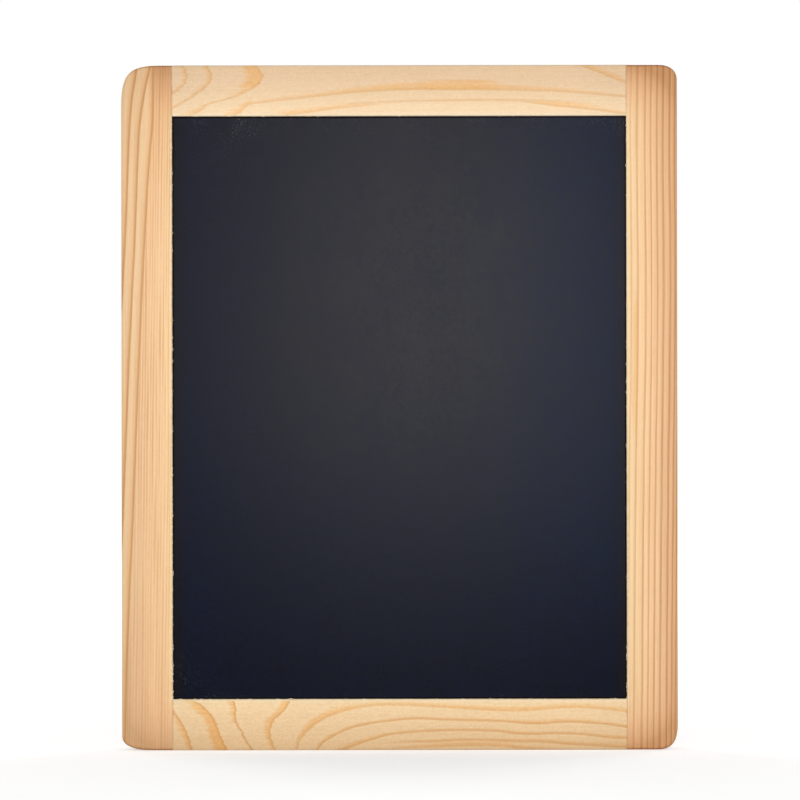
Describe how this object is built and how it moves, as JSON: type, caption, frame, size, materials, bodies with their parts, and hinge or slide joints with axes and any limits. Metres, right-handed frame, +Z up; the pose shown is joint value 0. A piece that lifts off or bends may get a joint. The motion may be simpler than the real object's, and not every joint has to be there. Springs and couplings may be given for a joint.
{
  "type": "slate writing board",
  "caption": "Hand-held writing board: a thin slate sheet trapped in a grooved softwood frame with slip-jointed, hand-rounded corners.",
  "frame": {"origin": "middle of the bottom edge, half way through the thickness", "axes": "+Z up the board, +X to the right as seen by the writer, -Y out of the writing face towards the writer"},
  "size_m": [0.203, 0.01, 0.25],
  "materials": {
    "stile_pine": "bare sanded softwood, straight grain",
    "rail_pine": "bare sanded softwood, flat-sawn grain",
    "slate": "ground, semi-matt blue-black"
  },
  "bodies": {
    "root": {"left_stile": "stile_pine", "right_stile": "stile_pine", "top_rail": "rail_pine", "bottom_rail": "rail_pine", "slate_panel": "slate"}
  },
  "joints": []
}
